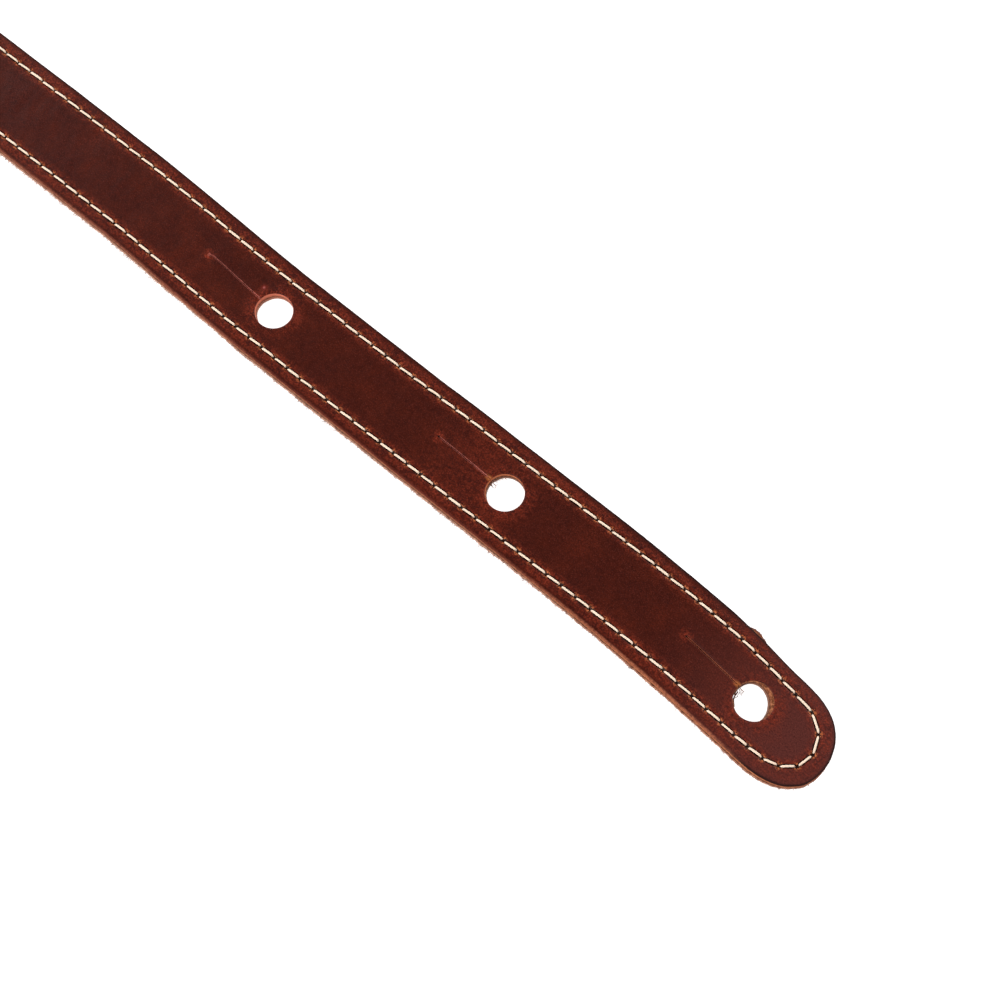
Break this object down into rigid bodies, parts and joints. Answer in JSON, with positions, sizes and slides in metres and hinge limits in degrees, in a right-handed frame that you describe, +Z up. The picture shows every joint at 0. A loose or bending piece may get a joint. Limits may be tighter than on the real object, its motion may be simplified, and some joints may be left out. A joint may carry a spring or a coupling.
{
  "type": "guitar strap",
  "caption": "Slim stitched leather guitar strap with a suede backing, rounded ends and slit keyholes for strap buttons; it lies folded over and unfolds straight.",
  "frame": {"origin": "centre of the bounding box's bottom, with the strap lying folded over at rest", "axes": "+Z up, +X along the tail run towards the tail tip, with the tail's grain side up"},
  "size_m": [0.5548, 0.3066, 0.0593],
  "materials": {
    "outer_leather": "smooth waxed pull-up grain, dark red-brown, slightly glossy",
    "suede_backing": "raw tan suede, matte and fibrous",
    "needle_thread": "cream twisted sewing thread, lightly waxed",
    "bobbin_thread": "cream twisted sewing thread, lightly waxed"
  },
  "bodies": {
    "tail_tip": {"outer_ply_tail_tip": "outer_leather", "backing_ply_tail_tip": "suede_backing", "needle_thread_tail_tip": "needle_thread", "bobbin_thread_tail_tip": "bobbin_thread"},
    "tail_2": {"outer_ply_tail_2": "outer_leather", "backing_ply_tail_2": "suede_backing", "needle_thread_tail_2": "needle_thread", "bobbin_thread_tail_2": "bobbin_thread"},
    "tail_3": {"outer_ply_tail_3": "outer_leather", "backing_ply_tail_3": "suede_backing", "needle_thread_tail_3": "needle_thread", "bobbin_thread_tail_3": "bobbin_thread"},
    "tail_4": {"outer_ply_tail_4": "outer_leather", "backing_ply_tail_4": "suede_backing", "needle_thread_tail_4": "needle_thread", "bobbin_thread_tail_4": "bobbin_thread"},
    "tail_5": {"outer_ply_tail_5": "outer_leather", "backing_ply_tail_5": "suede_backing", "needle_thread_tail_5": "needle_thread", "bobbin_thread_tail_5": "bobbin_thread"},
    "fold_1": {"outer_ply_fold_1": "outer_leather", "backing_ply_fold_1": "suede_backing", "needle_thread_fold_1": "needle_thread", "bobbin_thread_fold_1": "bobbin_thread"},
    "fold_2": {"outer_ply_fold_2": "outer_leather", "backing_ply_fold_2": "suede_backing", "needle_thread_fold_2": "needle_thread", "bobbin_thread_fold_2": "bobbin_thread"},
    "fold_3": {"outer_ply_fold_3": "outer_leather", "backing_ply_fold_3": "suede_backing", "needle_thread_fold_3": "needle_thread", "bobbin_thread_fold_3": "bobbin_thread"},
    "fold_4": {"outer_ply_fold_4": "outer_leather", "backing_ply_fold_4": "suede_backing", "needle_thread_fold_4": "needle_thread", "bobbin_thread_fold_4": "bobbin_thread"},
    "slope": {"outer_ply_slope": "outer_leather", "backing_ply_slope": "suede_backing", "needle_thread_slope": "needle_thread", "bobbin_thread_slope": "bobbin_thread"},
    "head_1": {"outer_ply_head_1": "outer_leather", "backing_ply_head_1": "suede_backing", "needle_thread_head_1": "needle_thread", "bobbin_thread_head_1": "bobbin_thread"},
    "head_2": {"outer_ply_head_2": "outer_leather", "backing_ply_head_2": "suede_backing", "needle_thread_head_2": "needle_thread", "bobbin_thread_head_2": "bobbin_thread"},
    "head_3": {"outer_ply_head_3": "outer_leather", "backing_ply_head_3": "suede_backing", "needle_thread_head_3": "needle_thread", "bobbin_thread_head_3": "bobbin_thread"},
    "head_end": {"outer_ply_head_end": "outer_leather", "backing_ply_head_end": "suede_backing", "needle_thread_head_end": "needle_thread", "bobbin_thread_head_end": "bobbin_thread"}
  },
  "joints": [
    {"name": "unfold_1", "type": "hinge", "parent": "tail_5", "child": "fold_1", "pos_m": [-0.25248, 0.14061, 0], "axis": [-0.2588, -0.9659, 0], "range_deg": [0, 41]},
    {"name": "unfold_2", "type": "hinge", "parent": "fold_1", "child": "fold_2", "pos_m": [-0.26965, 0.13924, 0.01411], "axis": [-0.2588, -0.9659, 0], "range_deg": [0, 41]},
    {"name": "unfold_3", "type": "hinge", "parent": "fold_2", "child": "fold_3", "pos_m": [-0.27403, 0.13445, 0.0354], "axis": [-0.2588, -0.9659, 0], "range_deg": [0, 41]},
    {"name": "unfold_4", "type": "hinge", "parent": "fold_3", "child": "fold_4", "pos_m": [-0.26421, 0.12586, 0.05343], "axis": [-0.2588, -0.9659, 0], "range_deg": [0, 41]},
    {"name": "unfold_5", "type": "hinge", "parent": "fold_4", "child": "slope", "pos_m": [-0.24574, 0.11495, 0.05935], "axis": [-0.2588, -0.9659, 0], "range_deg": [0, 41]},
    {"name": "unfold_touch", "type": "hinge", "parent": "slope", "child": "head_1", "pos_m": [-0.13894, 0.04916, 0], "axis": [0.2588, 0.9659, 0], "range_deg": [0, 25]},
    {"name": "bend_tail_4", "type": "hinge", "parent": "tail_5", "child": "tail_4", "pos_m": [-0.09248, 0.14061, 0.003], "axis": [0, -1, 0], "range_deg": [0, 50]},
    {"name": "bend_tail_3", "type": "hinge", "parent": "tail_4", "child": "tail_3", "pos_m": [0.05852, 0.14061, 0.003], "axis": [0, -1, 0], "range_deg": [0, 50]},
    {"name": "bend_tail_2", "type": "hinge", "parent": "tail_3", "child": "tail_2", "pos_m": [0.13402, 0.14061, 0.003], "axis": [0, -1, 0], "range_deg": [0, 50]},
    {"name": "bend_tail_1", "type": "hinge", "parent": "tail_2", "child": "tail_tip", "pos_m": [0.19952, 0.14061, 0.003], "axis": [0, -1, 0], "range_deg": [0, 50]},
    {"name": "bend_head_1", "type": "hinge", "parent": "head_1", "child": "head_2", "pos_m": [-0.05907, 0.00304, 0.003], "axis": [-0.5, -0.866, 0], "range_deg": [0, 50]},
    {"name": "bend_head_2", "type": "hinge", "parent": "head_2", "child": "head_3", "pos_m": [0.02753, -0.04696, 0.003], "axis": [-0.5, -0.866, 0], "range_deg": [0, 50]},
    {"name": "bend_head_3", "type": "hinge", "parent": "head_3", "child": "head_end", "pos_m": [0.11414, -0.09696, 0.003], "axis": [-0.5, -0.866, 0], "range_deg": [0, 50]}
  ],
  "couplings": [
    {"joint": "unfold_2", "follows": "unfold_1", "ratio": 1},
    {"joint": "unfold_3", "follows": "unfold_1", "ratio": 1},
    {"joint": "unfold_4", "follows": "unfold_1", "ratio": 1},
    {"joint": "unfold_5", "follows": "unfold_1", "ratio": 1},
    {"joint": "unfold_touch", "follows": "unfold_1", "ratio": 0.6097}
  ]
}
